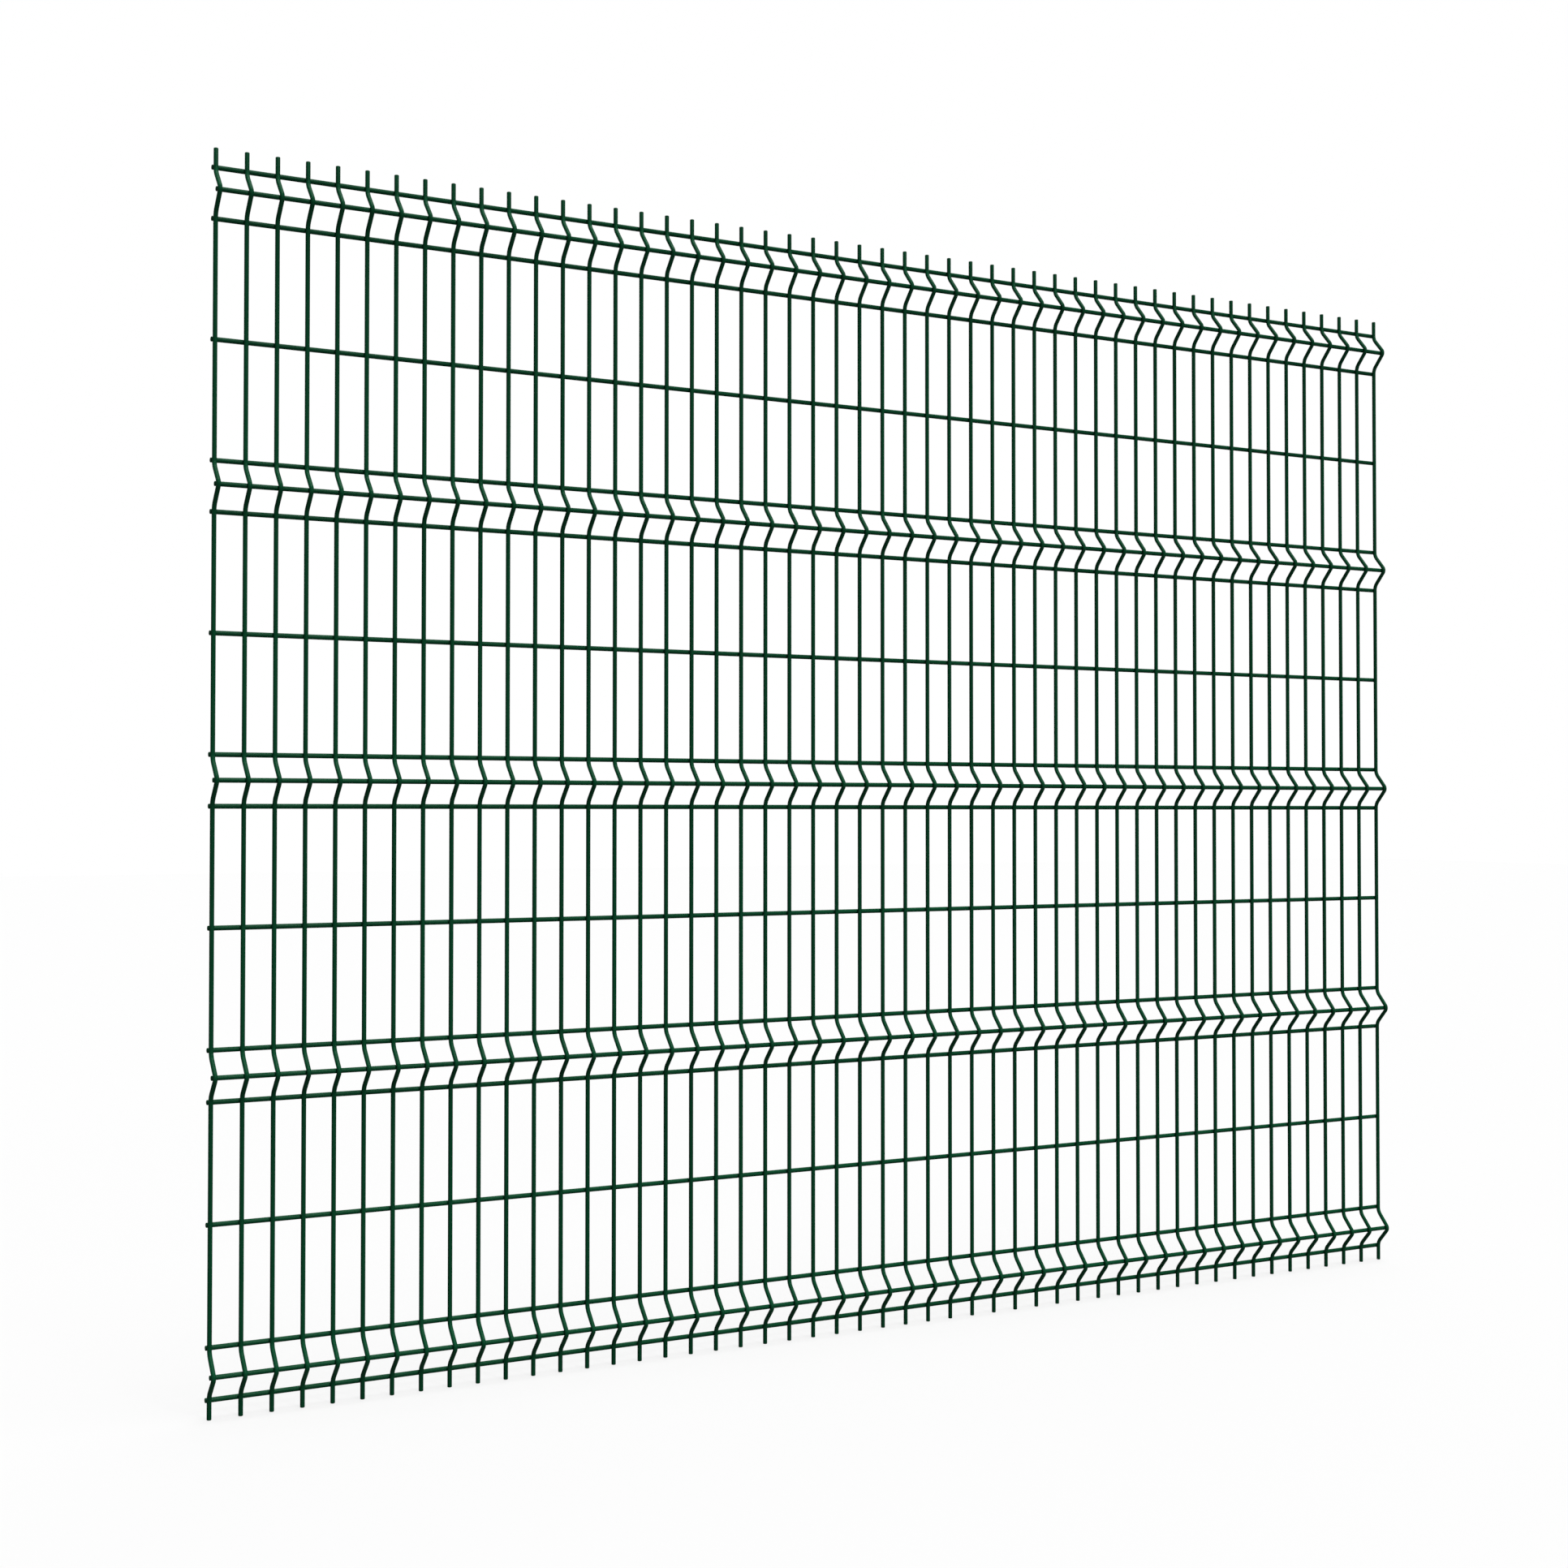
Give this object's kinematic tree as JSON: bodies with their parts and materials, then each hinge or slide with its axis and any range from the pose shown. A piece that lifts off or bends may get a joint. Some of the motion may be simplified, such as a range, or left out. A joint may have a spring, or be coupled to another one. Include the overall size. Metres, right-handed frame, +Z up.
{
  "type": "welded mesh fence panel",
  "caption": "Rigid fence panel of coated round wires, spot-welded into an upright mesh that is stiffened by horizontal V-folds, with bare wire tips above and below.",
  "frame": {"origin": "on the back of the lowest cross wire, behind the left edge upright, where the panel lies against its left post", "axes": "+X along the panel to its right edge as seen from the front, +Y to the back, towards the posts, +Z up; the folds bulge to the front, -Y"},
  "size_m": [2.51, 0.0393, 2.013],
  "materials": {
    "coated_wire": "moss-green plastic coat, satin, slightly soft at the cut wire ends"
  },
  "bodies": {
    "root": {"cross_wires_and_edge_uprights": "coated_wire", "upright_02": "coated_wire", "upright_03": "coated_wire", "upright_04": "coated_wire", "upright_05": "coated_wire", "upright_06": "coated_wire", "upright_07": "coated_wire", "upright_08": "coated_wire", "upright_09": "coated_wire", "upright_10": "coated_wire", "upright_11": "coated_wire", "upright_12": "coated_wire", "upright_13": "coated_wire", "upright_14": "coated_wire", "upright_15": "coated_wire", "upright_16": "coated_wire", "upright_17": "coated_wire", "upright_18": "coated_wire", "upright_19": "coated_wire", "upright_20": "coated_wire", "upright_21": "coated_wire", "upright_22": "coated_wire", "upright_23": "coated_wire", "upright_24": "coated_wire", "upright_25": "coated_wire", "upright_26": "coated_wire", "upright_27": "coated_wire", "upright_28": "coated_wire", "upright_29": "coated_wire", "upright_30": "coated_wire", "upright_31": "coated_wire", "upright_32": "coated_wire", "upright_33": "coated_wire", "upright_34": "coated_wire", "upright_35": "coated_wire", "upright_36": "coated_wire", "upright_37": "coated_wire", "upright_38": "coated_wire", "upright_39": "coated_wire", "upright_40": "coated_wire", "upright_41": "coated_wire", "upright_42": "coated_wire", "upright_43": "coated_wire", "upright_44": "coated_wire", "upright_45": "coated_wire", "upright_46": "coated_wire", "upright_47": "coated_wire", "upright_48": "coated_wire", "upright_49": "coated_wire", "upright_50": "coated_wire"}
  },
  "joints": []
}
